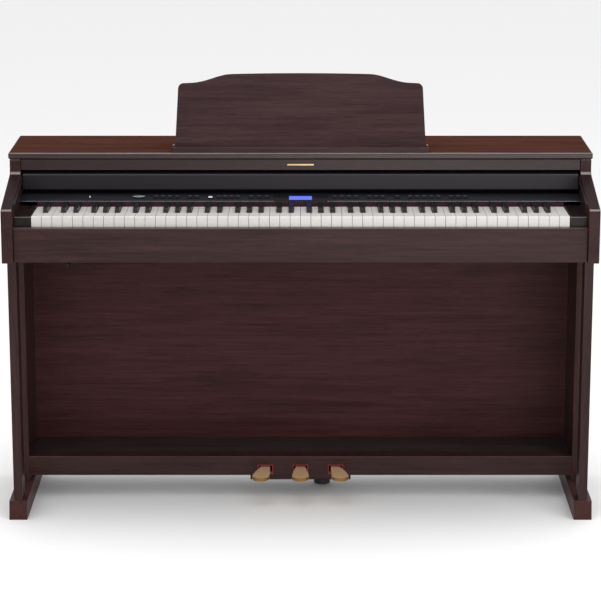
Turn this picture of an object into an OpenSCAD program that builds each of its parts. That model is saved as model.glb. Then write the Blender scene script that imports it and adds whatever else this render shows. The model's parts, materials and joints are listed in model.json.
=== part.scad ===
// Digital piano on a panel stand. Front is -Y, +X is the treble side, +Z is up.
// Origin: centre of the footprint, on the floor. "Depth" d counts back from the front of the arms.

/* [Overall] */
// Width over the two feet
overall_w = 1378; // [1370:1:1390]
// Depth from the front of the arms to the back
overall_d = 430; // [428:1:436]

/* [Stand] */
// Width of one foot
foot_w = 42.4; // [38:0.2:46]
// Height of the feet
foot_h = 44.5; // [42:0.5:46]
// Thickness of the leg posts and side panels
leg_t = 20.6; // [18:0.2:22]
// Depth of a leg post
leg_d = 48; // [40:1:60]
// Thickness of the back panel
back_t = 15; // [12:1:15]
// Top of the pedal rail
rail_top = 106; // [104:1:108]

/* [Cabinet] */
// Thickness of the side arms
arm_t = 25.5; // [22:0.5:28]
// Underside of the cabinet
bed_z = 642; // [640:1:644]
// Thickness of the top board
top_t = 16; // [15:1:18]
// Top face of the top board
top_z = 862; // [861:0.5:864]
// Top of the key slip
slip_top = 721; // [718:1:722]

/* [Keyboard] */
// Distance from one white key to the next
key_pitch = 23.56; // [23.4:0.01:23.56]
// Gap between neighbouring white keys
key_gap = 0.9; // [0.8:0.1:1.2]
// Length of a black key's visible cap
cap_len = 83.4; // [80:0.2:83.4]

/* [Pedals] */
// Distance between neighbouring pedals
pedal_pitch = 85.2; // [80:0.2:88]
// Widest part of a pedal's toe
toe_w = 40; // [36:1:44]

/* [Music rest] */
// Angle that the rest leans back from upright
rest_lean = 17.7; // [15:0.1:20]
// Thickness of the rest panel
rest_t = 12; // [12:1:14]

/* [Hidden] */
$fn = 48;

// clearances
fit = 0.3;
running = 0.05;

// stand
foot_ledge = 10.9;
leg_x = overall_w / 2 - foot_ledge;
leg_in = leg_x - leg_t;
leg_front = 95;
side_front = 243;
foot_front = 93;
foot_rake = 8;
inner_x = leg_in - fit;
back_front = 412;
shelf_top = 102;
shelf_t = 15;
rail_d = 39;
rail_bottom = 59;
box_half = 121.5;
box_bottom = 48;
slot_w = 37;
slot_z = [62, 85.4];
felt_t = 2;
axle_d = 330;
axle_z = 76;
axle_r = 5;
pedal_t = 8;
pedal_neck_w = 23;
pedal_tip = 158;
pedal_flare = 10;
toe_len = 20;
toe_taper = 66;
spring_wire = 2.4;
bolt_r = 3;
bolt_head_r = 6;
bolt_head_z = [6, 12];
adjuster = [53, 369];
adjuster_r = 20;

// cabinet
arm_in = leg_x - arm_t;
cab_x = arm_in - fit;
arm_nose_z = 765.7;
arm_slope_end = [168, 807];
arm_back_d = 194;
top_front = 195;
top_half = 681.5;
fascia_z = 820.5;
fascia_t = 16;
bed_t = 15;
slip_front = 12;
slip_t = 15;
rear_front = 415;
rear_t = 12;
cheek_x = 612.9;
cheek_top = 744;
cheek_back = 165;
felt_z = [740.3, 750.4];

// keyboard
key_front = 31;
key_z = 744.7;
key_slope = 2.1;
key_len = 231;
key_t = 14;
lip_h = 24;
white_head = 50;
black_front = 50.5;
black_w = 10;
black_h = 11.5;
black_room = 12.4;
pivot_d = 250;
pivot_drop = 7;
rod_r = 2.5;
keys_w = 52 * key_pitch;
// width that a black key takes from the white keys' tails, and the tails' widths in C-E and F-B
black_tail = 13.7;
tail_c = (3 * key_pitch - 2 * black_tail) / 3;
tail_f = (4 * key_pitch - 3 * black_tail) / 4;
// which white keys of an octave (C = 0) have a black key to their right, and its sideways shift
black_shift = [
    tail_c + black_tail / 2 - key_pitch, 2 * (tail_c - key_pitch) + 1.5 * black_tail, undef,
    tail_f + black_tail / 2 - key_pitch, 0, 3 * (tail_f - key_pitch) + 2.5 * black_tail, undef
];
first_c4 = 23;
first_c5 = 30;
white_count = 52;
pivot_z = key_z - tan(key_slope) * (pivot_d - key_front) - pivot_drop;

// key cover
cover_slope = 10;
nose_d = 190;
nose_t = 12;
nose_z = [777, 812];
cover_t = 7;
cover_half = 647.8;
cover_back = 372;
shaft = [366, 828];
shaft_r = 4;
roller_r = 5;
cover_rail_half = 8;
guide_half = 3.5;
guide_in = 648.6;
shaft_end = 651.8;
lug_x = [-600, -200, 200, 600];

// control panel
panel_low = [166, 752];
panel_high = [195, 765.5];
panel_slope = atan((panel_high[1] - panel_low[1]) / (panel_high[0] - panel_low[0]));
panel_len = norm(panel_high - panel_low);
panel_t = 3;
baffle_d = 232;
baffle_top = 792;
button_w = 12;
button_len = 6;
button_up = 1.8;
button_stem = 3.2;
power_r = 5;
power_up = 2.2;
power_x = -491;
slider_x = -377;
slider_run = 12;
screen_half = 61;
// button clusters: centre of the first button, how many, spacing
clusters_left = [[-337, 4, 16], [-258, 2, 16], [-210, 1, 16], [-190, 4, 14.5], [-115, 3, 18]];
clusters_right = [[80, 4, 16.5], [160, 3, 16], [226, 1, 16], [256, 5, 16.5], [352, 3, 16]];

// music rest
rest_pivot = [219.5, 871.1];
rest_half = 293;
rest_half_top = 286;
rest_h = 179.8;
rest_shoulder = 20;
rest_shoulder_fall = 2.5;
rest_fall_from = 240;
rest_crown = 2;
ledge_half = 298.5;
ledge_front = 197;
ledge_d = 10;
ledge_top = 874;
rest_pin_r = 3;
stay_x = 180;
stay_v = 60;
stay_t = 2.2;
stay_len = 78.7;
stay_angle = 55;
stay_pin_r = 1.5;

// speakers and jacks
speaker_x = 430;
speaker_d = 350;
jack_x = [200, 380];
jack_z = [672, 712];
phone_x = -531;
jack_r = 3.25;

function y(d) = d - overall_d / 2;
function smooth(t) = t <= 0 ? 0 : t >= 1 ? 1 : t * t * (3 - 2 * t);
// points of an arc that rounds corner b between a and c
function round_corner(a, b, c, r, n = 5) =
    let (
        u = (a - b) / norm(a - b),
        v = (c - b) / norm(c - b),
        half = acos(u * v) / 2,
        m = (u + v) / norm(u + v),
        centre = b + m * r / sin(half),
        p = b + u * r / tan(half),
        q = b + v * r / tan(half)
    )
    [for (i = [0:n])
        let (w = p + (q - p) * i / n, k = w - centre) centre + k / norm(k) * r];

// cuboid between two corners; its second coordinate is a depth behind the arms' front
module block(lo, hi) {
    translate([lo[0], y(lo[1]), lo[2]])
        cube([hi[0] - lo[0], hi[1] - lo[1], hi[2] - lo[2]]);
}
// side profile in (depth, height), extruded from x0 to x1
module profile_x(points, x0, x1) {
    translate([x0, 0, 0])
        rotate([90, 0, 90])
            linear_extrude(x1 - x0)
                polygon([for (p = points) [y(p[0]), p[1]]]);
}
// cylinder along X, centred on (depth, height)
module rod_x(x0, x1, d, z, r) {
    translate([x0, y(d), z])
        rotate([0, 90, 0])
            cylinder(h = x1 - x0, r = r);
}
module mirrored(side) {
    mirror([side < 0 ? 1 : 0, 0, 0])
        children();
}

// ---------- stand ----------
foot_bolts = [119, 290, 390];
module foot(side) {
    color("#3c2423")
        mirrored(side)
            difference() {
                profile_x([
                    [foot_front - foot_rake, 0], [foot_front - foot_rake, 4], [foot_front, foot_h],
                    [overall_d, foot_h], [overall_d, 0]
                ], overall_w / 2 - foot_w, overall_w / 2);
                for (d = foot_bolts) {
                    translate([leg_x - leg_t / 2, y(d), -1])
                        cylinder(h = bolt_head_z[1] + 1, r = bolt_head_r + 0.5);
                    translate([leg_x - leg_t / 2, y(d), 0])
                        cylinder(h = foot_h + 1, r = bolt_r + fit);
                }
            }
}
module bolt_hole(d) {
    translate([leg_x - leg_t / 2, y(d), foot_h - 1])
        cylinder(h = 26, r = bolt_r);
}
module leg(side) {
    color("#362120")
        mirrored(side)
            difference() {
                block([leg_in, leg_front, foot_h], [leg_x, leg_front + leg_d, bed_z]);
                bolt_hole(foot_bolts[0]);
            }
}
module side_panel(side) {
    color("#362120")
        mirrored(side)
            difference() {
                block([leg_in, side_front, foot_h], [leg_x, overall_d, bed_z]);
                bolt_hole(foot_bolts[1]);
                bolt_hole(foot_bolts[2]);
            }
}
module stand_bolts() {
    color("#8a8d90")
        for (side = [-1, 1], d = foot_bolts)
            translate([side * (leg_x - leg_t / 2), y(d), 0]) {
                translate([0, 0, bolt_head_z[0]])
                    difference() {
                        cylinder(h = bolt_head_z[1] - bolt_head_z[0], r = bolt_head_r);
                        // hexagon socket
                        translate([0, 0, -1])
                            cylinder(h = 4, r = 2.9, $fn = 6);
                    }
                translate([0, 0, bolt_head_z[1]])
                    cylinder(h = foot_h + 12, r = bolt_r);
            }
}
module back_panel() {
    color("#3d2322")
        block([-inner_x, back_front, shelf_top + fit], [inner_x, back_front + back_t, bed_z - fit]);
}
module pedal_rail() {
    color("#3a2221")
        difference() {
            union() {
                block([-inner_x, side_front, rail_bottom], [inner_x, side_front + rail_d, rail_top]);
                block([-box_half, side_front, box_bottom], [box_half, side_front + rail_d, rail_top]);
            }
            for (i = [-1:1])
                block([i * pedal_pitch - slot_w / 2, side_front - 1, slot_z[0]],
                    [i * pedal_pitch + slot_w / 2, side_front + rail_d + 1, slot_z[1]]);
        }
}
module pedal_shelf() {
    color("#1f1413")
        block([-inner_x, side_front + rail_d, shelf_top - shelf_t],
            [inner_x, back_front + back_t, shelf_top]);
}
module pedal_housing() {
    front = side_front + rail_d;
    back = 404;
    top = shelf_top - shelf_t;
    wall = 4;
    color("#18181a")
        difference() {
            block([-box_half, front, box_bottom], [box_half, back, top]);
            block([-box_half + wall, front - 1, box_bottom + wall], [box_half - wall, back - wall, top + 1]);
            rod_x(-box_half - 1, box_half + 1, axle_d, axle_z, axle_r);
            translate([adjuster[0], y(adjuster[1]), box_bottom - 1])
                cylinder(h = wall + 2, r = 5 + running);
        }
}
module pedal_axle() {
    color("#9a9ca0")
        rod_x(-box_half, box_half, axle_d, axle_z, axle_r);
}
module pedal_springs() {
    turns = 6;
    coil_r = 8.5;
    color("#b0b2b5")
        for (i = [-1:1])
            translate([i * pedal_pitch + 16, y(axle_d), axle_z])
                rotate([0, 90, 0])
                    rotate_extrude()
                        translate([coil_r, 0])
                            for (k = [0:turns - 1])
                                translate([0, k * spring_wire * 0.92])
                                    circle(d = spring_wire, $fn = 16);
}
// share of the way from the toe's width to the neck's, at distance t behind the tip
function taper(t) = t <= toe_len ? 0 : pow(min(1, (t - toe_len) / toe_taper), 1.4);
// half width of a pedal there, and how far the toe leans outward
function toe_half(t) =
    t < toe_len ? toe_w / 2 * sqrt(1 - pow((toe_len - t) / toe_len, 2) * 0.96)
    : toe_w / 2 - (toe_w - pedal_neck_w) / 2 * taper(t);
function toe_lean(t) = pedal_flare * (1 - taper(t));
toe_steps = [0, 1, 3, 6, 10, 15, 20, 28, 36, 44, 52, 60, 68, 76, 86, 110];
module pedal(i) {
    x0 = i * pedal_pitch;
    outline = concat(
        [for (t = toe_steps) [x0 + i * toe_lean(t) - toe_half(t), y(pedal_tip + t)]],
        [for (k = [len(toe_steps) - 1:-1:0])
            let (t = toe_steps[k]) [x0 + i * toe_lean(t) + toe_half(t), y(pedal_tip + t)]]
    );
    color("#b8913f")
        difference() {
            union() {
                translate([0, 0, axle_z - pedal_t / 2 - 1])
                    linear_extrude(pedal_t)
                        polygon(outline);
                block([x0 - pedal_neck_w / 2, pedal_tip + 100, axle_z - pedal_t / 2 - 1],
                    [x0 + pedal_neck_w / 2, 372, axle_z + pedal_t / 2 - 1]);
                rod_x(x0 - 13, x0 + 13, axle_d, axle_z, 9);
            }
            rod_x(x0 - 20, x0 + 20, axle_d, axle_z, axle_r + running);
        }
}
module pedal_felts() {
    color("#a01c18")
        for (i = [-1:1])
            difference() {
                block([i * pedal_pitch - slot_w / 2, side_front + 0.6, slot_z[0]],
                    [i * pedal_pitch + slot_w / 2, side_front + 14, slot_z[1]]);
                block([i * pedal_pitch - slot_w / 2 + felt_t, side_front, slot_z[0] + felt_t],
                    [i * pedal_pitch + slot_w / 2 - felt_t, side_front + 15, slot_z[1] - felt_t]);
            }
}
module stabilizer_foot() {
    color("#151515")
        translate([adjuster[0], y(adjuster[1]), 0]) {
            cylinder(h = 12, r = adjuster_r);
            translate([0, 0, 12])
                cylinder(h = 46, r = 5);
        }
}

// ---------- cabinet ----------
arm_nose = round_corner([0, bed_z], [0, arm_nose_z], arm_slope_end, 10);
arm_corner = [
    arm_back_d,
    arm_slope_end[1] + (arm_back_d - arm_slope_end[0]) * (arm_slope_end[1] - arm_nose_z) / arm_slope_end[0]
];
arm_cove = round_corner(arm_slope_end, arm_corner, [arm_back_d, top_z], 14);
module side_arm(side) {
    color("#3a2422")
        mirrored(side)
            profile_x(concat(
                [[0, bed_z]], arm_nose, arm_cove,
                [[arm_back_d, top_z - top_t], [overall_d, top_z - top_t], [overall_d, bed_z]]
            ), arm_in, leg_x);
}
module top_board() {
    color("#5a3029")
        block([-top_half, top_front, top_z - top_t], [top_half, overall_d, top_z]);
}
module front_fascia() {
    color("#3a2422")
        block([-cab_x, top_front + 3, fascia_z], [cab_x, top_front + 3 + fascia_t, top_z - top_t]);
}
module rear_cover() {
    color("#2a1b1a")
        difference() {
            block([-cab_x, rear_front, bed_z], [cab_x, rear_front + rear_t, top_z - top_t - fit]);
            block([jack_x[0], rear_front - 1, jack_z[0]], [jack_x[1], rear_front + rear_t + 1, jack_z[1]]);
        }
}
jack_holes = [[225, jack_r], [255, jack_r], [290, 2.75]];
module jack_panel() {
    plate = 3;
    z = (jack_z[0] + jack_z[1]) / 2;
    color("#202022")
        difference() {
            union() {
                block([jack_x[0] - 8, rear_front - fit - plate, jack_z[0] - 8],
                    [jack_x[1] + 8, rear_front - fit, jack_z[1] + 8]);
                for (h = jack_holes)
                    translate([h[0], y(rear_front - fit - plate - 14), z])
                        rotate([-90, 0, 0])
                            cylinder(h = 20, r = h[1] + 3);
                block([320, rear_front - fit - 24, z - 9], [352, rear_front + 4, z + 9]);
            }
            for (h = jack_holes)
                translate([h[0], y(rear_front - fit - plate - 10), z])
                    rotate([-90, 0, 0])
                        cylinder(h = 20, r = h[1]);
            block([326, rear_front - 16, z - 5], [346, rear_front + 5, z + 5]);
        }
}
module key_bed() {
    color("#2b1c1b")
        difference() {
            block([-cab_x, slip_front + slip_t, bed_z], [cab_x, rear_front - fit, bed_z + bed_t]);
            for (side = [-1, 1])
                translate([side * speaker_x, y(speaker_d), bed_z - 1])
                    cylinder(h = bed_t + 2, r = 50);
        }
}
module key_slip() {
    r = 5;
    color("#3c2423")
        profile_x(concat(
            [[slip_front, bed_z - 0.5]],
            round_corner([slip_front, bed_z], [slip_front, slip_top], [slip_front + slip_t, slip_top], r),
            [[slip_front + slip_t, slip_top], [slip_front + slip_t, bed_z - 0.5]]
        ), -cab_x, cab_x);
}
module cheek_blocks() {
    color("#241716")
        for (side = [-1, 1])
            mirrored(side)
                block([cheek_x, key_front - 1, bed_z + bed_t], [cab_x, cheek_back, cheek_top]);
}
module nameboard_felt() {
    color("#7a1420")
        block([-cheek_x, panel_low[0], felt_z[0]], [cheek_x, panel_low[0] + panel_t, felt_z[1]]);
}

// ---------- keyboard ----------
// everything below is drawn level, then tipped about the pivot rod to the keys' resting slope
module key_rest() {
    translate([0, y(pivot_d), pivot_z])
        rotate([-key_slope, 0, 0])
            translate([0, -y(pivot_d), -pivot_z])
                children();
}
key_top = pivot_z + pivot_drop;
key_tip = pivot_d - (pivot_d - key_front) / cos(key_slope);
function has_black(i) = i >= 0 && i < white_count - 1 && black_shift[(i + 5) % 7] != undef;
function white_x(i) = i * key_pitch - keys_w / 2;
function black_x(i) = white_x(i + 1) + black_shift[(i + 5) % 7];
module pivot_hole(x0, x1) {
    rod_x(x0, x1, pivot_d, pivot_z, rod_r + running);
}
module white_key(i) {
    x0 = white_x(i) + key_gap / 2;
    x1 = white_x(i + 1) - key_gap / 2;
    head = key_tip + white_head;
    back = key_tip + key_len;
    color("#efece6")
        key_rest()
            difference() {
                profile_x([
                    [key_tip, key_top - lip_h], [key_tip, key_top - 1], [key_tip + 1, key_top],
                    [back, key_top], [back, key_top - key_t], [key_tip + 5, key_top - key_t],
                    [key_tip + 5, key_top - lip_h]
                ], x0, x1);
                if (has_black(i))
                    block([black_x(i) - black_room / 2, head, key_top - lip_h - 1],
                        [x1 + 1, back + 1, key_top + 1]);
                if (has_black(i - 1))
                    block([x0 - 1, head, key_top - lip_h - 1],
                        [black_x(i - 1) + black_room / 2, back + 1, key_top + 1]);
                pivot_hole(x0 - 1, x1 + 1);
            }
}
module black_key(i) {
    x0 = black_x(i) - black_w / 2;
    front = key_tip + black_front;
    back = key_tip + key_len;
    cap_back = front + cap_len;
    color("#161616")
        key_rest()
            difference() {
                profile_x([
                    [front, key_top - key_t], [front, key_top + 2], [front + 4, key_top + black_h],
                    [cap_back, key_top + black_h], [cap_back, key_top - 2], [back, key_top - 2],
                    [back, key_top - key_t]
                ], x0, x0 + black_w);
                pivot_hole(x0 - 1, x0 + black_w + 1);
            }
}
module white_keys(first, last) {
    for (i = [first:last])
        white_key(i);
}
module black_keys(first, last) {
    for (i = [first:last])
        if (has_black(i))
            black_key(i);
}
module key_frame() {
    half = cheek_x - fit;
    end = keys_w / 2 + 4;
    base = bed_z + bed_t;
    rail_z = 716;
    color("#55585c")
        union() {
            block([-half, 38, base], [half, 285, base + 5]);
            block([-half, 60, base + 4], [half, 74, rail_z]);
            block([-end, 242, base + 4], [end, 258, rail_z]);
            for (side = [-1, 1])
                mirrored(side)
                    block([keys_w / 2 + 0.6, 243, rail_z - 1], [end, 257, pivot_z + 7]);
            rod_x(-end, end, pivot_d, pivot_z, rod_r);
        }
}

// ---------- key cover ----------
function cover_z(d) = nose_z[1] + (d - nose_d) * tan(cover_slope);
module key_cover() {
    color("#1d1b1d")
        difference() {
            union() {
                profile_x([
                    [nose_d, nose_z[0]], [nose_d, nose_z[1] - 2], [nose_d + 2, nose_z[1]],
                    [cover_back, cover_z(cover_back)], [cover_back, cover_z(cover_back) - cover_t],
                    [nose_d + nose_t, cover_z(nose_d + nose_t) - cover_t], [nose_d + nose_t, nose_z[0]]
                ], -cover_half, cover_half);
                for (x = lug_x)
                    profile_x([
                        [shaft[0] - 7, cover_z(shaft[0] - 7) - cover_t + 1], [shaft[0] - 7, shaft[1]],
                        [shaft[0] - 4, shaft[1] - 7], [shaft[0] + 4, shaft[1] - 7],
                        [shaft[0] + 6, shaft[1]], [shaft[0] + 6, cover_z(shaft[0] + 6) - cover_t + 1]
                    ], x - 6, x + 6);
            }
            rod_x(-cover_half - 1, cover_half + 1, shaft[0], shaft[1], shaft_r + running);
        }
}
module key_cover_shaft() {
    color("#9a9ca0") {
        rod_x(-guide_in, guide_in, shaft[0], shaft[1], shaft_r);
        for (side = [-1, 1])
            mirrored(side)
                rod_x(guide_in - 0.4, shaft_end, shaft[0], shaft[1], roller_r);
    }
}
module key_cover_rails() {
    front = 182;
    back = 378;
    strip_front = 34;
    slot = roller_r + running;
    slot_front = 188;
    slot_x = [guide_in - 0.6, shaft_end + 3.2];
    color("#141414")
        for (side = [-1, 1])
            mirrored(side)
                difference() {
                    union() {
                        rail_strip(front, back, cover_rail_half, guide_in, cab_x + fit);
                        // slim guide for the cover's ends, along the arm
                        rail_strip(strip_front, front + 1, guide_half, guide_in, cab_x + fit);
                    }
                    rail_strip(slot_front, shaft[0], slot, slot_x[0], slot_x[1]);
                    rod_x(slot_x[0], slot_x[1], shaft[0], shaft[1], slot);
                    rod_x(slot_x[0], slot_x[1], slot_front, roller_z(slot_front), slot);
                }
}
// height of the rollers' path, and a strip along it with half its height to each side
function roller_z(d) = shaft[1] + (d - shaft[0]) * tan(cover_slope);
module rail_strip(d0, d1, half, x0, x1) {
    rise = half / cos(cover_slope);
    profile_x([
        [d0, roller_z(d0) - rise], [d0, roller_z(d0) + rise],
        [d1, roller_z(d1) + rise], [d1, roller_z(d1) - rise]
    ], x0, x1);
}

// ---------- music rest ----------
// drawn upright about its hinge line, then leaned back
module rest_lean_back() {
    translate([0, y(rest_pivot[0]), rest_pivot[1]])
        rotate([-rest_lean, 0, 0])
            children();
}
shoulder_v = rest_h - 6 - rest_shoulder - rest_crown;
function rest_fall(x) = rest_shoulder_fall * max(0, x - rest_fall_from) / (rest_half_top - rest_fall_from);
function rest_edge(x) =
    shoulder_v - rest_fall(x) + rest_shoulder * smooth((252 - x) / 92)
    + rest_crown * (1 - pow(min(x, 160) / 160, 2));
rest_xs = [262, 252, 244, 236, 228, 220, 212, 204, 196, 188, 180, 172, 160, 130, 100, 60];
rest_side = concat(
    [[rest_half, -6]],
    round_corner([rest_half, -6], [rest_half_top, rest_edge(rest_half_top)],
        [rest_fall_from, rest_edge(rest_fall_from)], 13),
    [for (x = rest_xs) [x, rest_edge(x)]]
);
module music_rest() {
    left = [for (k = [len(rest_side) - 1:-1:0]) [-rest_side[k][0], rest_side[k][1]]];
    color("#3f2726")
        rest_lean_back() {
            difference() {
                translate([0, rest_t / 2, 0])
                    rotate([90, 0, 0])
                        linear_extrude(rest_t)
                            polygon(concat(rest_side, [[0, rest_edge(0)]], left));
                for (side = [-1, 1])
                    translate([side * stay_x - 8, -2, stay_v - 9])
                        cube([16, 20, stay_len + 20]);
            }
            for (side = [-1, 1]) {
                translate([side * (rest_half + 1.5), 0, 0])
                    rotate([0, 90, 0])
                        cylinder(h = 7, r = rest_pin_r, center = true);
                translate([side * stay_x - 8.5, stay_t, stay_v])
                    rotate([0, 90, 0])
                        cylinder(h = 17, r = stay_pin_r);
            }
        }
}
module music_rest_ledge() {
    ear_in = rest_half + 0.8;
    color("#2c1c1b")
        difference() {
            union() {
                block([-ledge_half, ledge_front, top_z], [ledge_half, ledge_front + ledge_d, ledge_top]);
                for (side = [-1, 1])
                    mirrored(side)
                        block([ear_in, ledge_front + ledge_d - 1, top_z],
                            [ledge_half, rest_pivot[0] + 6, rest_pivot[1] + 6]);
            }
            rod_x(-ledge_half - 1, ledge_half + 1, rest_pivot[0], rest_pivot[1], rest_pin_r + running);
        }
}
module music_rest_stays() {
    color("#8d8f92")
        rest_lean_back()
            for (side = [-1, 1])
                translate([side * stay_x, stay_t, stay_v])
                    rotate([-(90 - rest_lean + stay_angle), 0, 0])
                        difference() {
                            union() {
                                translate([-6, -1.5, 0])
                                    cube([12, 3, stay_len]);
                                rotate([0, 90, 0])
                                    cylinder(h = 12, r = 3.4, center = true);
                            }
                            rotate([0, 90, 0])
                                cylinder(h = 14, r = stay_pin_r + running, center = true);
                        }
}

// ---------- controls ----------
// local frame of the sloping face: x along the piano, y up the slope from its middle, z out of it
module on_panel(x) {
    mid = (panel_low + panel_high) / 2;
    translate([x, y(mid[0]), mid[1]])
        rotate([panel_slope, 0, 0])
            children();
}
module button_row(clusters, w, len, z0, z1) {
    for (c = clusters, k = [0:c[1] - 1])
        on_panel(c[0] + k * c[2])
            translate([-w / 2, -len / 2 - 1, z0])
                cube([w, len, z1 - z0]);
}
module control_panel() {
    s = panel_t * sin(panel_slope);
    c = panel_t * cos(panel_slope);
    room = 2 * fit;
    color("#1b1b1e")
        difference() {
            profile_x([
                panel_low, panel_high, [baffle_d, panel_high[1]], [baffle_d, baffle_top],
                [baffle_d + panel_t, baffle_top], [baffle_d + panel_t, panel_high[1] - panel_t],
                [panel_high[0] + s / 2, panel_high[1] - panel_t], [panel_low[0] + s, panel_low[1] - c + 1.5]
            ], -cab_x, cab_x);
            button_row(clusters_left, button_w + room, button_len + room, -5, 3);
            button_row(clusters_right, button_w + room, button_len + room, -5, 3);
            on_panel(power_x)
                translate([0, 0, -5])
                    cylinder(h = 8, r = power_r + fit);
            on_panel(slider_x)
                translate([-slider_run - 3, -1.5, -5])
                    cube([2 * slider_run + 6, 3, 8]);
            on_panel(0)
                translate([-screen_half, -panel_len / 2 - 1, -1])
                    cube([2 * screen_half, panel_len + 2, 4]);
            on_panel(0)
                translate([-32, -6, -5])
                    cube([64, 16, 8]);
        }
}
module display_screen() {
    color("#15151c")
        on_panel(0) {
            translate([-screen_half + fit, -panel_len / 2 + 1, -1])
                cube([2 * screen_half - 2 * fit, panel_len - 2, 1]);
            translate([-31.5, -5.5, -6])
                cube([63, 15, 5.2]);
        }
}
module buttons(clusters) {
    color("#2c2c30")
        for (c = clusters, k = [0:c[1] - 1])
            on_panel(c[0] + k * c[2])
                translate([-button_w / 2, -button_len / 2 - 1, -button_stem])
                    cube([button_w, button_len, button_stem + button_up]);
}
// long lens-shaped knob on a stem through the slot
knob_half = [16, 4];
module volume_slider() {
    arc = [for (k = [-8:8]) [k / 8 * knob_half[0], knob_half[1] * cos(k / 8 * 90)]];
    back = [for (k = [len(arc) - 2:-1:1]) [arc[k][0], -arc[k][1]]];
    color("#3a3a40")
        on_panel(slider_x) {
            translate([0, 0, 0.4])
                linear_extrude(4.2)
                    polygon(concat(arc, back));
            translate([-1.5, -1.2, -4])
                cube([3, 2.4, 5]);
        }
}
module power_button() {
    color("#3a3a40")
        on_panel(power_x)
            translate([0, 0, -button_stem])
                cylinder(h = button_stem + power_up, r = power_r);
}
board_half = 330;
board_z = 690;
board_t = 1.6;
panel_board_z = 757;
module main_board() {
    color("#1d5a38") {
        // small board under the buttons, hung from the control panel
        block([-board_half, 205, panel_board_z], [board_half, 230, panel_board_z + board_t]);
        for (x = [-300, -100, 100, 290])
            block([x, 214, panel_board_z + board_t - 0.5], [x + 8, 222, panel_high[1] - panel_t]);
        // main board on its posts, with four chips
        block([-board_half, 265, board_z], [board_half, 386, board_z + board_t]);
        for (x = [-280, -120, 60, 230])
            block([x, 290, board_z + 1], [x + 40, 330, board_z + 9]);
        for (x = [-320, 310], d = [290, 370])
            block([x, d, bed_z + bed_t], [x + 10, d + 10, board_z + 0.5]);
    }
}
module speakers() {
    base = bed_z + bed_t;
    color("#101012")
        for (side = [-1, 1])
            translate([side * speaker_x, y(speaker_d), base])
                rotate_extrude()
                    polygon([
                        [0, 14], [14, 14], [46, 1], [46, 0], [60, 0], [60, 4], [50, 4], [30, 24], [30, 44],
                        [0, 44]
                    ]);
}
phone_jacks = [-12, 12];
phone_front = 62;
phone_h = 14;
module headphone_box() {
    z0 = bed_z - phone_h;
    hook_w = 7;
    hook_t = 5;
    hook_h = 10;
    hook_front = 20;
    color("#141414")
        difference() {
            union() {
                block([phone_x - 26, phone_front, z0], [phone_x + 26, phone_front + 64, bed_z - fit]);
                // hook for the headphones, between the two jacks
                block([phone_x - hook_w / 2, hook_front, z0],
                    [phone_x + hook_w / 2, phone_front + 1, z0 + hook_t]);
                block([phone_x - hook_w / 2, hook_front, z0],
                    [phone_x + hook_w / 2, hook_front + hook_t, z0 + hook_h]);
            }
            for (x = phone_jacks)
                translate([phone_x + x, y(phone_front - 1), bed_z - phone_h / 2])
                    rotate([-90, 0, 0])
                        cylinder(h = 20, r = jack_r);
        }
}

foot(-1);  // foot_left
foot(1);  // foot_right
leg(-1);  // leg_left
leg(1);  // leg_right
side_panel(-1);  // side_panel_left
side_panel(1);  // side_panel_right
back_panel();
pedal_rail();
pedal_shelf();
pedal_housing();
pedal_axle();
pedal_springs();
pedal(-1);  // pedal_left
pedal(0);  // pedal_center
pedal(1);  // pedal_right
pedal_felts();
stabilizer_foot();
stand_bolts();
side_arm(-1);  // side_arm_left
side_arm(1);  // side_arm_right
top_board();
front_fascia();
rear_cover();
jack_panel();
key_bed();
key_slip();
cheek_blocks();
key_frame();
nameboard_felt();
key_cover();
key_cover_shaft();
key_cover_rails();
music_rest();
music_rest_ledge();
music_rest_stays();
control_panel();
display_screen();
volume_slider();
buttons(clusters_left);  // buttons_left
buttons(clusters_right);  // buttons_right
power_button();
main_board();
speakers();
headphone_box();
white_keys(0, first_c4 - 1);  // white_keys_bass
black_keys(0, first_c4 - 1);  // black_keys_bass
white_keys(first_c5, white_count - 1);  // white_keys_treble
black_keys(first_c5, white_count - 1);  // black_keys_treble
white_key(first_c4);  // key_c4
black_key(first_c4);  // key_c4_sharp
white_key(first_c4 + 1);  // key_d4
black_key(first_c4 + 1);  // key_d4_sharp
white_key(first_c4 + 2);  // key_e4
white_key(first_c4 + 3);  // key_f4
black_key(first_c4 + 3);  // key_f4_sharp
white_key(first_c4 + 4);  // key_g4
black_key(first_c4 + 4);  // key_g4_sharp
white_key(first_c4 + 5);  // key_a4
black_key(first_c4 + 5);  // key_a4_sharp
white_key(first_c4 + 6);  // key_b4
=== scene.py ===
"""Looks of the digital piano: bevelled boards, keys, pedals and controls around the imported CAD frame."""

import json
import math

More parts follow.
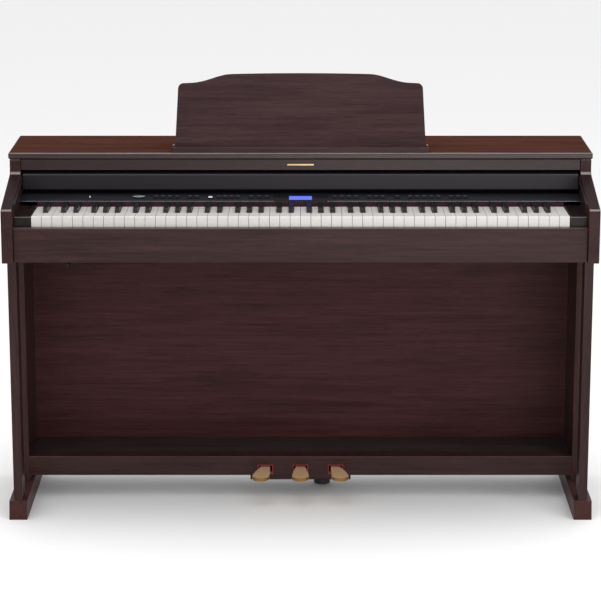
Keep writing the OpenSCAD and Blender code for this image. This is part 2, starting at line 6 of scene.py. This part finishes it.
import bmesh
import bpy
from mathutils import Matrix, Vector

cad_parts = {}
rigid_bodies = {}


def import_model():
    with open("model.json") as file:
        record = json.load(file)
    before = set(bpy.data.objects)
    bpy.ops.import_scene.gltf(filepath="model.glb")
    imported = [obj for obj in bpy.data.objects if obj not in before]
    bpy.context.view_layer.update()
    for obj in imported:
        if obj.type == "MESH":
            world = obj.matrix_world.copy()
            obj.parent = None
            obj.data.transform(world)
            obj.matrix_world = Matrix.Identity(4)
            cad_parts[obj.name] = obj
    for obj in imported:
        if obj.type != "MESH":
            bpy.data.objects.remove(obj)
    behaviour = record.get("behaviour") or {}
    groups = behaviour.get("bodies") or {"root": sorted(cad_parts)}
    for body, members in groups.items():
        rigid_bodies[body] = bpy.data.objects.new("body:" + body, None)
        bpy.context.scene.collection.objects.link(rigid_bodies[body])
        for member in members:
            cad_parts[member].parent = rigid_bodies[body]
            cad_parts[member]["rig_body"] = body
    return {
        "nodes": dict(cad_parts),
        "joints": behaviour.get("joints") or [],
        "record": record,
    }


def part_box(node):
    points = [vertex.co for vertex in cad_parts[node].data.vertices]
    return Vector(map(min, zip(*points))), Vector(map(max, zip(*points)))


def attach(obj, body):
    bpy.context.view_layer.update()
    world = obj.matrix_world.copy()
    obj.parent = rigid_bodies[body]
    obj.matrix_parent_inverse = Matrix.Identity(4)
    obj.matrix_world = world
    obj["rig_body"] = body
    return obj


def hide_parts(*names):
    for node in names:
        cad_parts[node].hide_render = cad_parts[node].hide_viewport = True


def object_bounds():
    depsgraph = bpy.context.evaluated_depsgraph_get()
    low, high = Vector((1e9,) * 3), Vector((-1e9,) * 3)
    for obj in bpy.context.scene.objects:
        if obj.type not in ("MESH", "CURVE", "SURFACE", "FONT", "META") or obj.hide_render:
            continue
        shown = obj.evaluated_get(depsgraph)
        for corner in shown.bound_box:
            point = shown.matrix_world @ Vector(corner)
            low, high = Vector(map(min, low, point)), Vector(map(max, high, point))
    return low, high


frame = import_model()
CAD_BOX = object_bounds()
NODES = frame["nodes"]
MM = 0.001
X, Y, Z = 0, 1, 2


# ---------- node helpers ----------
class Shader:
    """A new material with its Principled shader, and short ways to add nodes to it."""

    def __init__(self, name, **sockets):
        self.material = bpy.data.materials.new(name)
        self.material.use_nodes = True
        self.tree = self.material.node_tree
        self.bsdf = self.tree.nodes["Principled BSDF"]
        self.where = self.add("ShaderNodeTexCoord").outputs["Object"]
        for socket, value in sockets.items():
            self.bsdf.inputs[socket.replace("_", " ")].default_value = value

    def add(self, kind, **settings):
        made = self.tree.nodes.new(kind)
        for key, value in settings.items():
            setattr(made, key, value)
        return made

    def link(self, start, end):
        self.tree.links.new(start, end)

    def stretched(self, scale, offset=(0, 0, 0)):
        """The object's own coordinates, scaled a different amount along each axis."""
        mapping = self.add("ShaderNodeMapping")
        mapping.inputs["Scale"].default_value = scale
        mapping.inputs["Location"].default_value = offset
        self.link(self.where, mapping.inputs["Vector"])
        return mapping.outputs["Vector"]

    def noise(self, vector, scale=1.0, detail=4.0, roughness=0.55, distortion=0.0):
        made = self.add("ShaderNodeTexNoise")
        made.inputs["Scale"].default_value = scale
        made.inputs["Detail"].default_value = detail
        made.inputs["Roughness"].default_value = roughness
        made.inputs["Distortion"].default_value = distortion
        self.link(vector, made.inputs["Vector"])
        return made.outputs["Fac"]

    def ramp(self, value, stops):
        """A colour ramp; each stop is (place, colour)."""
        made = self.add("ShaderNodeValToRGB")
        elements = made.color_ramp.elements
        while len(elements) < len(stops):
            elements.new(0.5)
        for element, (place, colour) in zip(elements, stops):
            element.position = place
            element.color = (*colour, 1) if len(colour) == 3 else colour
        self.link(value, made.inputs["Fac"])
        return made.outputs["Color"]

    def mix(self, share, a, b, blend="MIX"):
        """Two colours mixed; share, a and b are sockets or plain values."""
        made = self.add("ShaderNodeMix", data_type="RGBA", blend_type=blend)
        for socket, value in (("Factor", share), ("A", a), ("B", b)):
            target = made.inputs[0] if socket == "Factor" else made.inputs[6 if socket == "A" else 7]
            if isinstance(value, bpy.types.NodeSocket):
                self.link(value, target)
            else:
                target.default_value = value if socket == "Factor" else (*value, 1)
        return made.outputs[2]

    def spread(self, value, low, high):
        """A 0 to 1 value, remapped to low..high."""
        made = self.add("ShaderNodeMapRange")
        made.inputs["To Min"].default_value = low
        made.inputs["To Max"].default_value = high
        self.link(value, made.inputs["Value"])
        return made.outputs["Result"]

    def bump(self, height, strength, distance):
        made = self.add("ShaderNodeBump")
        made.inputs["Strength"].default_value = strength
        made.inputs["Distance"].default_value = distance
        self.link(height, made.inputs["Height"])
        self.link(made.outputs["Normal"], self.bsdf.inputs["Normal"])

    def to(self, value, socket):
        self.link(value, self.bsdf.inputs[socket])


# ---------- materials ----------
def along(axis, long_scale, fine_scale):
    """Scales for a grain that runs along one axis."""
    return tuple(long_scale if k == axis else fine_scale for k in range(3))


def rosewood(name, axis, tones, roughness=0.31, gloss=0.15):
    """Rosewood veneer: broad figure, fine streaks and dark pores, all drawn out along the grain."""
    deep, mid, light = TONES[tones]
    s = Shader(name, Specular_IOR_Level=gloss)
    figure = s.noise(s.stretched(along(axis, 1.6, 17)), detail=5, roughness=0.6, distortion=1.4)
    fine = s.stretched(along(axis, 4.5, 150), (3.1, 1.7, 5.3))
    streaks = s.noise(fine, detail=4, roughness=0.62, distortion=0.35)
    pores = s.noise(s.stretched(along(axis, 26, 900), (7.7, 2.2, 0.9)), detail=2, roughness=0.5)
    body = s.ramp(streaks, [(0.28, deep), (0.52, mid), (0.78, light)])
    dim, plain, bright = (0.72, 0.71, 0.71), (0.98, 0.98, 0.98), (1.14, 1.13, 1.12)
    shade = s.ramp(figure, [(0.32, dim), (0.5, plain), (0.7, bright)])
    colour = s.mix(0.85, body, shade, "MULTIPLY")
    pore_mask = s.ramp(pores, [(0.36, (0.45, 0.43, 0.43)), (0.44, (1, 1, 1))])
    colour = s.mix(0.6, colour, pore_mask, "MULTIPLY")
    s.to(colour, "Base Color")
    s.to(s.spread(streaks, roughness - 0.05, roughness + 0.1), "Roughness")
    s.bump(pore_mask, 0.18, 0.0003)
    return s.material


def moulded(name, colour, roughness, grain=0.0002, scale=900, **sockets):
    """Moulded plastic: a fine even texture, with faint variation in its gloss."""
    s = Shader(name, **sockets)
    fine = s.noise(s.stretched((scale, scale, scale)), detail=2)
    broad = s.noise(s.stretched((14, 14, 14)), detail=3)
    s.to(s.mix(broad, tuple(0.88 * c for c in colour), tuple(1.12 * c for c in colour)), "Base Color")
    s.to(s.spread(fine, roughness - 0.05, roughness + 0.06), "Roughness")
    s.bump(fine, 0.12, grain)
    return s.material


def ivory(name, tone=1.0):
    """White key: smooth, slightly warm acrylic; a lower tone is darker."""
    s = Shader(name, IOR=1.49, Coat_Weight=0.25, Coat_Roughness=0.12)
    cloud = s.noise(s.stretched((5, 30, 30)), detail=3)
    low, high = (0.60, 0.575, 0.55), (0.66, 0.64, 0.62)
    s.to(s.mix(cloud, tuple(tone * c for c in low), tuple(tone * c for c in high)), "Base Color")
    s.to(s.spread(cloud, 0.24, 0.34), "Roughness")
    s.bump(s.noise(s.stretched((60, 60, 60)), detail=2), 0.03, 0.0002)
    return s.material


def metal(name, colour, dark, axis, roughness, metallic=1.0):
    """Brushed metal, with its scratches along one axis."""
    s = Shader(name, Metallic=metallic)
    brushed = s.noise(s.stretched(along(axis, 30, 1400)), detail=3)
    broad = s.noise(s.stretched((20, 20, 20)), detail=3)
    s.to(s.mix(broad, dark, colour), "Base Color")
    s.to(s.spread(brushed, roughness - 0.06, roughness + 0.1), "Roughness")
    s.bump(brushed, 0.06, 0.0002)
    return s.material


def felt(name, deep, light, sheen=0.4):
    """Wool felt: matted fibres with a soft edge sheen."""
    s = Shader(name, Roughness=0.95, Sheen_Weight=sheen, Sheen_Roughness=0.5)
    fibres = s.noise(s.stretched((1500, 1500, 1500)), detail=4, roughness=0.7, distortion=1.5)
    s.to(s.ramp(fibres, [(0.3, deep), (0.7, light)]), "Base Color")
    s.bump(fibres, 0.6, 0.0006)
    return s.material


def glow(name, colour, strength, cells):
    """A lit display: an even colour broken into faint cells."""
    s = Shader(name, Roughness=0.15)
    grid = s.add("ShaderNodeTexBrick", offset=0.0)
    grid.inputs["Scale"].default_value = cells
    grid.inputs["Mortar Size"].default_value = 0.03
    grid.inputs["Color1"].default_value = (*colour, 1)
    grid.inputs["Color2"].default_value = (*[0.9 * c for c in colour], 1)
    grid.inputs["Mortar"].default_value = (*[0.55 * c for c in colour], 1)
    s.link(s.where, grid.inputs["Vector"])
    s.to(grid.outputs["Color"], "Base Color")
    s.to(grid.outputs["Color"], "Emission Color")
    s.bsdf.inputs["Emission Strength"].default_value = strength
    return s.material


def circuit(name):
    """Green board with lighter copper tracks under its mask."""
    s = Shader(name, Roughness=0.4)
    tracks = s.add("ShaderNodeTexVoronoi", feature="DISTANCE_TO_EDGE")
    s.link(s.stretched((180, 180, 180)), tracks.inputs["Vector"])
    track, mask = (0.03, 0.16, 0.07), (0.01, 0.075, 0.035)
    s.to(s.ramp(tracks.outputs["Distance"], [(0.05, track), (0.12, mask)]), "Base Color")
    return s.material


# deep, middle and light tone of each veneer, and of the painted light and shade copies marked below
TONES = {
    "stand": ((0.021, 0.0086, 0.0082), (0.032, 0.0135, 0.0128), (0.043, 0.0195, 0.0180)),
    "front": ((0.015, 0.0048, 0.0050), (0.024, 0.0082, 0.0085), (0.033, 0.0122, 0.0122)),
    "rest": ((0.028, 0.0150, 0.0160), (0.040, 0.0210, 0.0225), (0.052, 0.0275, 0.0290)),
    "back": ((0.031, 0.0100, 0.0102), (0.048, 0.0158, 0.0160), (0.065, 0.0230, 0.0222)),
    # the top board's upper face, painted lighter and redder than the board's front as lit from above
    "top": ((0.048, 0.0188, 0.0132), (0.060, 0.0240, 0.0168), (0.073, 0.0305, 0.0216)),
    # the arms' sloping tops, painted darker than the arms' wood as shade
    "slope": ((0.013, 0.0060, 0.0062), (0.020, 0.0090, 0.0095), (0.028, 0.0130, 0.0135)),
    # painted highlight: a pale copy of the wood for edges and faces that catch the light
    "edge": ((0.070, 0.050, 0.048), (0.095, 0.070, 0.068), (0.130, 0.100, 0.098)),
    "foot": ((0.032, 0.0120, 0.0110), (0.048, 0.0180, 0.0165), (0.066, 0.0260, 0.0240)),
    "shelf": ((0.030, 0.019, 0.019), (0.050, 0.033, 0.033), (0.068, 0.046, 0.046)),
    "dark": ((0.006, 0.004, 0.004), (0.011, 0.0075, 0.0075), (0.017, 0.011, 0.011)),
    "cheek": ((0.006, 0.003, 0.003), (0.013, 0.0065, 0.0065), (0.022, 0.011, 0.0105)),
}
M = {
    "wood_x": rosewood("rosewood_along_x", X, "stand"),
    "wood_z": rosewood("rosewood_upright", Z, "stand"),
    "wood_front": rosewood("rosewood_front", X, "front", 0.27, 0.45),
    "wood_fascia": rosewood("rosewood_fascia", X, "front", 0.27, 0.29),
    "wood_rest": rosewood("rosewood_rest", X, "rest", 0.5, 0.05),
    "wood_back": rosewood("rosewood_back", X, "back", 0.4, 0.08),
    # lit copy: the top board's upper face is painted lighter than its front
    "wood_lit_top": rosewood("rosewood_top", X, "top", 0.6, 0.0),
    "wood_arm": rosewood("rosewood_arm", Y, "stand", 0.33, 0.12),
    # shaded copy: the arms' sloping tops are painted darker than the rest of the arms
    "wood_shaded_slope": rosewood("rosewood_arm_shaded_slope", Y, "slope", 0.4, 0.04),
    "wood_painted_highlight": rosewood("rosewood_painted_highlight", X, "edge", 0.26, 0.6),
    "wood_foot": rosewood("rosewood_foot", Y, "foot", 0.4, 0.08),
    "shelf": rosewood("dark_shelf", X, "shelf", 0.5),
    "dark": rosewood("dark_board", X, "dark", 0.5),
    "cheek": rosewood("cheek_wood", Y, "cheek", 0.27, 0.17),
    "cover": moulded("cover_satin_black", (0.0098, 0.0076, 0.0105), 0.3, Specular_IOR_Level=0.19),
    "panel": moulded("panel_fine_black", (0.0085, 0.0088, 0.0112), 0.42, Specular_IOR_Level=0.18),
    "black": moulded("black_plastic", (0.007, 0.007, 0.0074), 0.5, 0.0003, 600, Specular_IOR_Level=0.2),
    "button": moulded("button_dark_grey", (0.006, 0.006, 0.007), 0.35, Specular_IOR_Level=0.15),
    # white glow: the lit button's lamp, and a painted highlight on the power button
    "lamp_and_highlight": glow("lamp_and_highlight_white", (0.72, 0.73, 0.70), 0.25, 900),
    "power": moulded("power_gloss_black", (0.009, 0.009, 0.010), 0.2, 0.0001),
    "gloss": moulded("gloss_window", (0.008, 0.008, 0.010), 0.12, 0.0001),
    "ebony": moulded("black_key_satin", (0.011, 0.0105, 0.0105), 0.34, 0.00015, 500, Specular_IOR_Level=0.3),
    "ivory": ivory("white_key_acrylic"),
    # painted shade: the key fronts are a darker copy of the white key acrylic
    "ivory_shaded_front": ivory("white_key_shaded_front", 0.84),
    "brass": metal("satin_brass", (0.70, 0.455, 0.250), (0.60, 0.39, 0.205), Y, 0.45, 0.15),
    # the pedal toes: polished brass, its colour darkened as a painted dark reflection
    "toe_brass_painted_dark": metal("polished_toe_brass_painted_dark", (0.34, 0.175, 0.045), (0.24, 0.12, 0.03), Y, 0.09),
    "gilt": metal("satin_gilt", (0.80, 0.56, 0.27), (0.70, 0.47, 0.20), X, 0.4, 0.6),
    "steel": metal("plain_steel", (0.62, 0.63, 0.65), (0.5, 0.51, 0.53), X, 0.33),
    "screw": metal("blackened_steel", (0.10, 0.10, 0.105), (0.06, 0.06, 0.065), X, 0.35, 0.8),
    "silver": metal("silver_trim", (0.34, 0.36, 0.38), (0.26, 0.28, 0.30), X, 0.34),
    "felt": felt("red_felt", (0.14, 0.003, 0.009), (0.36, 0.010, 0.022)),
    # painted shade: the nameboard felt is the red felt darkened
    "shaded_red_felt": felt("red_felt_with_painted_shade", (0.016, 0.002, 0.005), (0.048, 0.004, 0.012), 0.1),
    "rubber": moulded("black_rubber", (0.012, 0.012, 0.012), 0.6, 0.0005, 400),
    "print": moulded("printed_grey", (0.16, 0.165, 0.175), 0.5),
    "board": circuit("circuit_board"),
    "lcd": glow("display_blue", (0.085, 0.125, 0.62), 0.85, 260),
}


# ---------- geometry helpers ----------
def merged(mesh):
    """bmesh of a CAD mesh with its flat faces whole again."""
    bm = bmesh.new()
    bm.from_mesh(mesh)
    bmesh.ops.remove_doubles(bm, verts=bm.verts, dist=2e-6)
    bmesh.ops.dissolve_limit(bm, angle_limit=math.radians(0.4), verts=bm.verts, edges=bm.edges)
    return bm


def place(bm, name, material, body, slot=None, smooth=35):
    """Makes the bmesh a piece that rides on a body."""
    mesh = bpy.data.meshes.new(name)
    bmesh.ops.recalc_face_normals(bm, faces=bm.faces)
    bm.to_mesh(mesh)
    bm.free()
    mesh.shade_smooth()
    mesh.set_sharp_from_angle(angle=math.radians(smooth))
    mesh.materials.append(material)
    obj = bpy.data.objects.new(name, mesh)
    bpy.context.scene.collection.objects.link(obj)
    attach(obj, body)
    return obj


def body_of_node(node):
    return NODES[node]["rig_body"]


def slot_of_node(node):
    return next(p["material_slot"] for p in frame["record"]["subparts"] if p["node"] == node)


def bevelled(bm, width, segments, angle=25, slot=-1):
    """Rounds every edge that is sharper than the angle; slot is the material slot of the new faces."""
    sharp = [e for e in bm.edges if len(e.link_faces) == 2 and e.calc_face_angle(0) > math.radians(angle)]
    bmesh.ops.bevel(
        bm, geom=sharp, offset=width, offset_type="OFFSET", segments=segments,
        profile=0.5, affect="EDGES", clamp_overlap=True, material=slot,
    )


def dress(node, material, width, segments=2, angle=25):
    """A copy of the CAD node with rounded edges, standing for it."""
    bm = merged(NODES[node].data)
    bevelled(bm, width * MM, segments, angle, 1)
    obj = place(bm, node + "_finish", material, body_of_node(node), slot_of_node(node), 60)
    obj.data.materials.append(material)
    weighted = obj.modifiers.new("even_normals", "WEIGHTED_NORMAL")
    weighted.keep_sharp = True
    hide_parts(node)
    return obj


def face_finish(obj, material, chosen, edges_only=False, reach=math.inf):
    """Gives the faces whose normal passes the test their own material, as far out as the reach."""
    obj.data.materials.append(material)
    last = len(obj.data.materials) - 1
    for face in obj.data.polygons:
        fits = chosen(face.normal) and abs(face.center.x) < reach
        if fits and (face.material_index == 1 or not edges_only):
            face.material_index = last


def paint(node, material):
    """The CAD node itself, with a better material."""
    slots = NODES[node].material_slots
    if not slots:
        NODES[node].data.materials.append(material)
    for s in slots:
        s.material = material


def cuboid(lo, hi):
    bm = bmesh.new()
    bmesh.ops.create_cube(bm, size=1)
    lo, hi = Vector(lo), Vector(hi)
    for v in bm.verts:
        v.co = Vector((lo[k] + (v.co[k] + 0.5) * (hi[k] - lo[k]) for k in range(3)))
    return bm


# ---------- boards ----------
# tests on a face's normal
def any_way(n):
    return True


def along_x(n):
    return abs(n.x) < 0.3


def up_along_x(n):
    return abs(n.x) < 0.3 and n.z > 0.3


def facing_up(n):
    return n.z > 0.98


def arm_slope(n):
    return n.z > 0.85 and -0.6 < n.y < -0.1


def arm_nose(n):
    return n.z > 0.4 and n.y < -0.5 and abs(n.x) < 0.2


# material, bevel in mm, and which edges get a paler line of wood, a painted highlight where they would catch
# the light
BOARDS = {
    "foot_left": ("wood_foot", 2.6, any_way), "foot_right": ("wood_foot", 2.6, any_way),
    "leg_left": ("wood_z", 1.8, None), "leg_right": ("wood_z", 1.8, None),
    "side_panel_left": ("wood_z", 1.5, None), "side_panel_right": ("wood_z", 1.5, None),
    "back_panel": ("wood_back", 0.8, None), "pedal_rail": ("wood_x", 1.4, up_along_x),
    "pedal_shelf": ("shelf", 0.8, None),
    "side_arm_left": ("wood_arm", 1.6, None), "side_arm_right": ("wood_arm", 1.6, None),
    "top_board": ("wood_front", 4.2, up_along_x), "front_fascia": ("wood_fascia", 0.8, None),
    "rear_cover": ("dark", 1.0, None), "key_bed": ("dark", 1.0, None),
    "key_slip": ("wood_x", 1.6, up_along_x), "cheek_blocks": ("cheek", 1.6, up_along_x),
    "music_rest": ("wood_rest", 1.8, None), "music_rest_ledge": ("wood_x", 1.8, along_x),
}
# whole faces with a material of their own, which paint light and shade: a lighter top on the top board and on
# the pedal rail, pale painted highlight strips on the slip's top and the arms' noses, darker painted shade on
# the arms' sloping tops
FACES = {
    "top_board": [("wood_lit_top", facing_up)],
    # painted light: the pedal rail's shaded top gets the lighter foot wood
    "pedal_rail": [("wood_foot", facing_up)],
    "key_slip": [("wood_painted_highlight", facing_up)],
    "side_arm_left": [("wood_shaded_slope", arm_slope), ("wood_painted_highlight", arm_nose)],
    "side_arm_right": [("wood_shaded_slope", arm_slope), ("wood_painted_highlight", arm_nose)],
}
LEDGE_EAR = 8 * MM
for node, (wood, width, lines) in BOARDS.items():
    board = dress(node, M[wood], width, 4)
    if lines:
        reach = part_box(node)[1].x - LEDGE_EAR if node == "music_rest_ledge" else math.inf
        # the chosen bevel faces get the pale wood as a painted highlight line
        face_finish(board, M["wood_painted_highlight"], lines, edges_only=True, reach=reach)
    for name, chosen in FACES.get(node, []):
        face_finish(board, M[name], chosen)


# ---------- keys ----------
def key_front(n):
    return n.y < -0.7


SINGLE_WHITE_KEY = len("key_c4")
for node in NODES:
    if node.startswith("white_keys") or (node.startswith("key_") and len(node) == SINGLE_WHITE_KEY):
        # the key fronts get the darker copy of the acrylic as painted shade
        face_finish(dress(node, M["ivory"], 0.9, 3), M["ivory_shaded_front"], key_front)
    elif node.startswith("black_keys") or node.endswith("_sharp"):
        dress(node, M["ebony"], 1.6, 3)


# ---------- pedals ----------
def pedal_toe(n):
    return n.y < -0.18


for side in ("left", "center", "right"):
    pedal = dress("pedal_" + side, M["brass"], 3.7, 6, angle=40)
    # the toes get the polished brass, painted dark as a reflection of dark surroundings
    face_finish(pedal, M["toe_brass_painted_dark"], pedal_toe)
paint("pedal_felts", M["felt"])
paint("pedal_springs", M["steel"])
paint("pedal_axle", M["steel"])
dress("pedal_housing", M["black"], 1.0)
dress("stabilizer_foot", M["rubber"], 1.5)
paint("stand_bolts", M["steel"])

# ---------- key cover and controls ----------
dress("key_cover", M["cover"], 1.2, 3)
paint("key_cover_shaft", M["steel"])
dress("key_cover_rails", M["black"], 0.8)
# the nameboard felt gets the red felt darkened as painted shade
paint("nameboard_felt", M["shaded_red_felt"])
dress("control_panel", M["panel"], 0.5)
dress("display_screen", M["gloss"], 0.4)
dress("volume_slider", M["silver"], 0.8, 3)
dress("buttons_left", M["button"], 0.5)
dress("buttons_right", M["button"], 0.5)
dress("power_button", M["power"], 1.0, 3)
paint("key_frame", M["steel"])
paint("main_board", M["board"])
paint("speakers", M["black"])
dress("headphone_box", M["button"], 0.6)
dress("jack_panel", M["black"], 0.5)
paint("music_rest_stays", M["steel"])


# ---------- trim on the control panel and the fascia ----------
PRESS = Vector(next(j["axis"] for j in frame["joints"] if j["name"] == "power_button_press"))
OUT = -PRESS.normalized()
UP_SLOPE = Vector((0, OUT.z, -OUT.y))
PANEL_TOP = max((v.co for v in NODES["display_screen"].data.vertices), key=lambda co: co.z).copy()
PANEL_TOP.x = 0
SCREEN_MARGIN = 1 * MM
SLOPE_LENGTH = 32 * MM
LIT_BUTTON_X = -210 * MM
SINK = 0.1 * MM  # how far a piece of trim reaches into what it lies on


def panel_block(x0, x1, down0, down1, out0, out1):
    """Block on the sloping panel; down is measured from its upper edge and out from its face."""
    bm = cuboid((x0, down0, out0), (x1, down1, out1))
    for v in bm.verts:
        x, down, out = v.co
        v.co = Vector((x, 0, 0)) + PANEL_TOP + UP_SLOPE * (SCREEN_MARGIN - down) + OUT * out
    return bm


def trim_lines():
    """Thin silver line along the panel's lower edge, broken at the display."""
    half_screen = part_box("display_screen")[1].x
    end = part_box("control_panel")[1].x - 0.4 * MM
    upper, lower = SLOPE_LENGTH - 1.9 * MM, SLOPE_LENGTH - 0.2 * MM
    for side, x0, x1 in (("left", -end, -half_screen - MM), ("right", half_screen + MM, end)):
        bm = panel_block(x0, x1, upper, lower, -2 * SINK, 0.35 * MM)
        bevelled(bm, 0.15 * MM, 2)
        place(bm, "silver_line_" + side, M["silver"], "cabinet", "steel")


def display():
    """Blue display on the gloss window, which is left as a dark frame round it."""
    half, upper, lower = 26.5 * MM, 10.5 * MM, 24.8 * MM
    bm = panel_block(-half, half, upper, lower, -2 * SINK, 0.12 * MM)
    place(bm, "display_lit_area", M["lcd"], "cabinet", "screen")


def printed_marks():
    """Short light dashes over the buttons, in place of their labels."""
    inset, upper, lower = 2 * MM, 8.6 * MM, 9.5 * MM
    for side in ("left", "right"):
        mesh = NODES["buttons_" + side].data
        bm = bmesh.new()
        bm.from_mesh(mesh)
        bmesh.ops.remove_doubles(bm, verts=bm.verts, dist=2e-6)
        marks = bmesh.new()
        for island in islands(bm):
            xs = [v.co.x for v in island]
            dash = panel_block(min(xs) + inset, max(xs) - inset, upper, lower, -SINK, 0.08 * MM)
            add_to(marks, dash)
        bm.free()
        place(marks, "printed_marks_" + side, M["print"], "cabinet", "button_grey")


def islands(bm):
    """The separate solids of a bmesh, as lists of vertices."""
    found, seen = [], set()
    for start in bm.verts:
        if start in seen:
            continue
        seen.add(start)
        group, queue = [], [start]
        while queue:
            v = queue.pop()
            group.append(v)
            for e in v.link_edges:
                w = e.other_vert(v)
                if w not in seen:
                    seen.add(w)
                    queue.append(w)
        found.append(group)
    return found


def add_to(target, extra):
    """Adds one bmesh to another and frees it."""
    mesh = bpy.data.meshes.new("part")
    extra.to_mesh(mesh)
    extra.free()
    target.from_mesh(mesh)
    bpy.data.meshes.remove(mesh)


def blank_plate():
    """Plain brass bar on the fascia, without lettering."""
    half_length, half_height = 31 * MM, 1.8 * MM
    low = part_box("front_fascia")[0]
    mid = (low.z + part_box("top_board")[0].z) / 2
    front, back = low.y - 0.6 * MM, low.y + 0.5 * MM
    bm = cuboid((-half_length, front, mid - half_height), (half_length, back, mid + half_height))
    bevelled(bm, 0.3 * MM, 2)
    place(bm, "blank_brass_bar", M["gilt"], "cabinet", "brass")


def height_over_panel(node):
    """How far the node's highest point stands out from the panel's face."""
    return max((v.co - PANEL_TOP).dot(OUT) for v in NODES[node].data.vertices)


def lamp_and_power_highlight():
    """A pale lit cap on the one lit button, and a fine glowing line on the power button, a painted highlight
    on its dome.
    """
    button_reach, inset, cap_length = 13 * MM, 1.5 * MM, 9 * MM
    xs = [v.co.x for v in NODES["buttons_left"].data.vertices]
    nearest = min(xs, key=lambda x: abs(x - LIT_BUTTON_X))
    left = min(x for x in xs if x > nearest - button_reach) + inset
    out = height_over_panel("buttons_left")
    bm = panel_block(left, left + cap_length, 14.6 * MM, 18.4 * MM, out - SINK, out + 0.25 * MM)
    bevelled(bm, 0.2 * MM, 2)
    place(bm, "lit_button_cap", M["lamp_and_highlight"], body_of_node("buttons_left"), "button_grey")

    # the glowing line is a painted highlight on the power button's dome
    half_line = 0.6 * MM
    low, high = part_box("power_button")
    mid = (low.x + high.x) / 2
    out = height_over_panel("power_button")
    bm = panel_block(mid - half_line, mid + half_line, 12.5 * MM, 19.5 * MM, out - SINK, out + 0.3 * MM)
    bevelled(bm, 0.25 * MM, 2)
    place(bm, "power_button_painted_highlight", M["lamp_and_highlight"], body_of_node("power_button"), "button_grey")


def screws():
    """Screws in two rows on the rear cover, each with a fine cross on its head."""
    columns, from_end, from_edge = 7, 30 * MM, 14 * MM
    wide, narrow, depth = 4.2 * MM, 2.8 * MM, 1.4 * MM
    cross_half, cross_width, cross_out = 2 * MM, 0.35 * MM, (1.3 * MM, 1.6 * MM)
    low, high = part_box("rear_cover")
    step = (high.x - low.x - 2 * from_end) / (columns - 1)
    heads = bmesh.new()
    for k in range(columns):
        for z in (low.z + from_edge, high.z - from_edge):
            x = low.x + from_end + step * k
            head = bmesh.new()
            bmesh.ops.create_cone(head, cap_ends=True, segments=24, radius1=wide, radius2=narrow, depth=depth)
            for v in head.verts:
                v.co = Vector((x + v.co.x, high.y + depth / 2 + v.co.z, z + v.co.y))
            add_to(heads, head)
            for dx, dz in ((cross_half, cross_width), (cross_width, cross_half)):
                lo = (x - dx, high.y + cross_out[0], z - dz)
                add_to(heads, cuboid(lo, (x + dx, high.y + cross_out[1], z + dz)))
    place(heads, "rear_cover_screws", M["screw"], "cabinet", "steel")


trim_lines()
display()
lamp_and_power_highlight()
screws()
printed_marks()
blank_plate()


# ---------- floor, light and camera ----------
def floor():
    half_size, tone = 60, 0.86
    bm = bmesh.new()
    bmesh.ops.create_grid(bm, x_segments=1, y_segments=1, size=half_size)
    mesh = bpy.data.meshes.new("floor")
    bm.to_mesh(mesh)
    bm.free()
    s = Shader("pale_floor", Roughness=0.85)
    s.bsdf.inputs["Base Color"].default_value = (tone, tone, tone, 1)
    mesh.materials.append(s.material)
    obj = bpy.data.objects.new("floor", mesh)
    bpy.context.scene.collection.objects.link(obj)


def softbox(name, place_at, look_at, size, watts):
    data = bpy.data.lights.new(name, "AREA")
    data.shape = "RECTANGLE"
    data.size, data.size_y = size
    data.energy = watts
    obj = bpy.data.objects.new(name, data)
    obj.location = place_at
    obj.rotation_mode = "QUATERNION"
    obj.rotation_quaternion = (Vector(look_at) - Vector(place_at)).to_track_quat("-Z", "Y")
    bpy.context.scene.collection.objects.link(obj)


def camera():
    """A long lens straight in front of the middle of the keyboard, looking a little down."""
    before_arms, eye_height, down_deg = 5.2, 1.85, 13.24
    data = bpy.data.cameras.new("camera")
    data.sensor_width = 36
    data.lens = 140.9
    data.shift_y = -0.05
    obj = bpy.data.objects.new("camera", data)
    obj.location = (0, CAD_BOX[0].y - before_arms, eye_height)
    obj.rotation_euler = (math.radians(90 - down_deg), 0, 0)
    bpy.context.scene.collection.objects.link(obj)
    bpy.context.scene.camera = obj


floor()
# the lights at the sides shape the fronts; the low one is reflected in the right half of the fascia
softbox("key_light", (3.7, -3.5, 2.1), (0.2, 0, 0.4), (1.4, 1.8), 38)
softbox("fill_light", (-4.0, -3.4, 2.2), (0, 0, 0.4), (1.4, 1.8), 11)
softbox("low_light", (1.3, -3.4, 0.33), (1.3, 0, 0.33), (3.0, 0.6), 17)
softbox("top_light", (0.2, -0.6, 3.8), (0, 0, 0.7), (3.4, 2.0), 70)
world = bpy.data.worlds.new("studio")
world.use_nodes = True
world.node_tree.nodes["Background"].inputs["Color"].default_value = (1, 1, 1, 1)
world.node_tree.nodes["Background"].inputs["Strength"].default_value = 1.0
bpy.context.scene.world = world
bpy.context.scene.view_settings.view_transform = "Standard"
camera()
